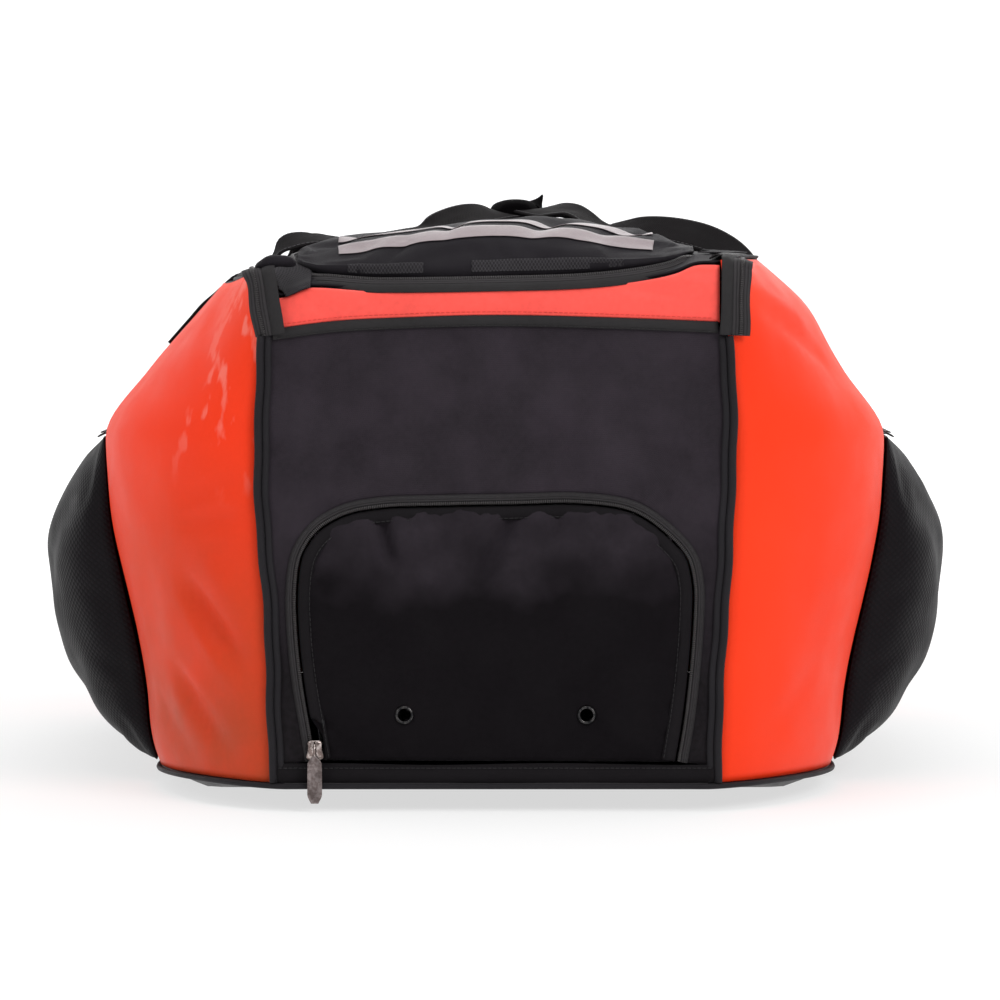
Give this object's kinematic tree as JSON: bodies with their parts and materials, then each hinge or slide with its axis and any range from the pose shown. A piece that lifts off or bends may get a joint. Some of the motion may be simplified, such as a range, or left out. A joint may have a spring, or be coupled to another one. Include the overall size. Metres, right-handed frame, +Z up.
{
  "type": "hockey equipment bag",
  "caption": "Large soft equipment bag for ice hockey with a hinged zip lid, ventilated skate pocket in the end, bulging side pockets and webbing carry handles.",
  "frame": {"origin": "middle of the base on the floor, below the bag's centre", "axes": "+Z up, +Y along the bag's length to the rear end, +X to the right seen from the front end, where the skate pocket is"},
  "size_m": [0.644, 0.924, 0.411],
  "materials": {
    "base_fabric": "matte coated fabric",
    "stiffener": "matte",
    "piping": "satin",
    "black_polyester": "matte plain weave",
    "coral_satin": "satin weave",
    "grey_binding": "ribbed",
    "orange_tarpaulin": "coated, slightly glossy",
    "black_dobby": "coated dobby weave",
    "zip_tape": "ribbed tape",
    "webbing": "woven webbing",
    "lining": "plain",
    "vent_mesh": "mesh",
    "lid_fabric": "matte plain weave",
    "wrap_fabric": "matte",
    "reflective_print": "satin",
    "gunmetal": "satin",
    "dark_zinc": "satin",
    "nickel": "satin"
  },
  "bodies": {
    "shell": {"base_board": "stiffener", "base_panel": "base_fabric", "base_piping": "piping", "end_pocket_hem": "grey_binding", "end_pocket_liner": "lining", "end_pocket_zip_tape": "zip_tape", "front_band": "coral_satin", "front_band_binding": "grey_binding", "front_end_panel": "black_polyester", "front_left_piping": "piping", "front_left_zip_end": "zip_tape", "front_right_piping": "piping", "front_right_zip_end": "zip_tape", "left_handle_anchors": "webbing", "left_pocket_backing": "black_polyester", "left_pocket_shell": "black_dobby", "left_pocket_zip": "zip_tape", "left_side_panel": "orange_tarpaulin", "lid_zip_lower_tape": "zip_tape", "rear_band": "coral_satin", "rear_band_binding": "grey_binding", "rear_end_panel": "black_polyester", "rear_left_piping": "piping", "rear_right_piping": "piping", "right_handle_anchors": "webbing", "right_pocket_backing": "black_polyester", "right_pocket_shell": "black_dobby", "right_pocket_zip": "zip_tape", "right_side_panel": "orange_tarpaulin"},
    "lid": {"lid_panel": "black_polyester", "lid_mesh_left": "vent_mesh", "lid_mesh_right": "vent_mesh", "lid_zip_upper_tape": "zip_tape", "top_pocket_zip_tape": "zip_tape"},
    "top_flap": {"top_pocket_flap": "lid_fabric"},
    "end_flap": {"end_pocket_flap": "black_polyester", "end_pocket_flap_tape": "zip_tape", "flap_eyelets": "gunmetal"},
    "left_grip": {"left_handle": "webbing", "handle_wrap": "wrap_fabric"},
    "right_grip": {"right_handle": "webbing"},
    "end_pocket_slide": {"end_pocket_slider": "dark_zinc"},
    "end_pocket_pull": {"end_pocket_puller": "nickel"},
    "lid_left_slide": {"lid_left_slider": "dark_zinc"},
    "lid_left_pull": {"lid_left_puller": "nickel"},
    "lid_right_slide": {"lid_right_slider": "dark_zinc"},
    "lid_right_pull": {"lid_right_puller": "nickel"},
    "top_pocket_slide": {"top_pocket_slider": "dark_zinc"},
    "top_pocket_pull": {"top_pocket_puller": "nickel"},
    "left_pocket_slide": {"left_pocket_slider": "dark_zinc"},
    "left_pocket_pull": {"left_pocket_puller": "nickel"},
    "right_pocket_slide": {"right_pocket_slider": "dark_zinc"},
    "right_pocket_pull": {"right_pocket_puller": "nickel"}
  },
  "joints": [
    {"name": "lid_hinge", "type": "hinge", "parent": "shell", "child": "lid", "pos_m": [0, -0.45, 0.3506], "axis": [1, 0, 0], "range_deg": [0, 100]},
    {"name": "end_flap_hinge", "type": "hinge", "parent": "shell", "child": "end_flap", "pos_m": [0, -0.451, 0.0332], "axis": [1, 0, 0], "range_deg": [0, 85]},
    {"name": "top_flap_hinge", "type": "hinge", "parent": "lid", "child": "top_flap", "pos_m": [0, -0.0595, 0.3715], "axis": [-1, 0, 0], "range_deg": [0, 70]},
    {"name": "left_grip_swing", "type": "hinge", "parent": "shell", "child": "left_grip", "pos_m": [-0.201, 0, 0.341], "axis": [0, -1, 0], "range_deg": [0, 200], "deforming": ["left_handle", "handle_wrap"]},
    {"name": "right_grip_swing", "type": "hinge", "parent": "shell", "child": "right_grip", "pos_m": [0.201, 0, 0.341], "axis": [0, 1, 0], "range_deg": [0, 200], "deforming": ["right_handle"]},
    {"name": "end_pocket_slide", "type": "slide", "parent": "shell", "child": "end_pocket_slide", "axis": [0, 0, 1], "range_m": [0, 0.105]},
    {"name": "end_pocket_pull", "type": "hinge", "parent": "end_pocket_slide", "child": "end_pocket_pull", "pos_m": [-0.12, -0.4597, 0.041], "axis": [-1, 0, 0], "range_deg": [0, 150]},
    {"name": "lid_left_slide", "type": "slide", "parent": "shell", "child": "lid_left_slide", "axis": [-1, 0, 0], "range_m": [0, 0.12]},
    {"name": "lid_left_pull", "type": "hinge", "parent": "lid_left_slide", "child": "lid_left_pull", "pos_m": [-0.008, 0.4597, 0.349], "axis": [0, 0, -1], "range_deg": [0, 150]},
    {"name": "lid_right_slide", "type": "slide", "parent": "shell", "child": "lid_right_slide", "axis": [1, 0, 0], "range_m": [0, 0.12]},
    {"name": "lid_right_pull", "type": "hinge", "parent": "lid_right_slide", "child": "lid_right_pull", "pos_m": [0.008, 0.4597, 0.349], "axis": [0, 0, 1], "range_deg": [0, 150]},
    {"name": "top_pocket_slide", "type": "slide", "parent": "lid", "child": "top_pocket_slide", "axis": [0, -1, 0], "range_m": [0, 0.15]},
    {"name": "top_pocket_pull", "type": "hinge", "parent": "top_pocket_slide", "child": "top_pocket_pull", "pos_m": [-0.1375, -0.09, 0.3712], "axis": [1, 0, 0], "range_deg": [0, 150]},
    {"name": "left_pocket_slide", "type": "slide", "parent": "shell", "child": "left_pocket_slide", "axis": [0, -1, 0], "range_m": [0, 0.4]},
    {"name": "left_pocket_pull", "type": "hinge", "parent": "left_pocket_slide", "child": "left_pocket_pull", "pos_m": [-0.2773, 0.19, 0.2518], "axis": [1, 0, 0], "range_deg": [0, 150]},
    {"name": "right_pocket_slide", "type": "slide", "parent": "shell", "child": "right_pocket_slide", "axis": [0, -1, 0], "range_m": [0, 0.4]},
    {"name": "right_pocket_pull", "type": "hinge", "parent": "right_pocket_slide", "child": "right_pocket_pull", "pos_m": [0.2773, 0.19, 0.2518], "axis": [1, 0, 0], "range_deg": [0, 150]}
  ],
  "couplings": [
    {"joint": "left_grip_swing", "follows": "lid_hinge", "ratio": 2},
    {"joint": "right_grip_swing", "follows": "lid_hinge", "ratio": 2}
  ]
}
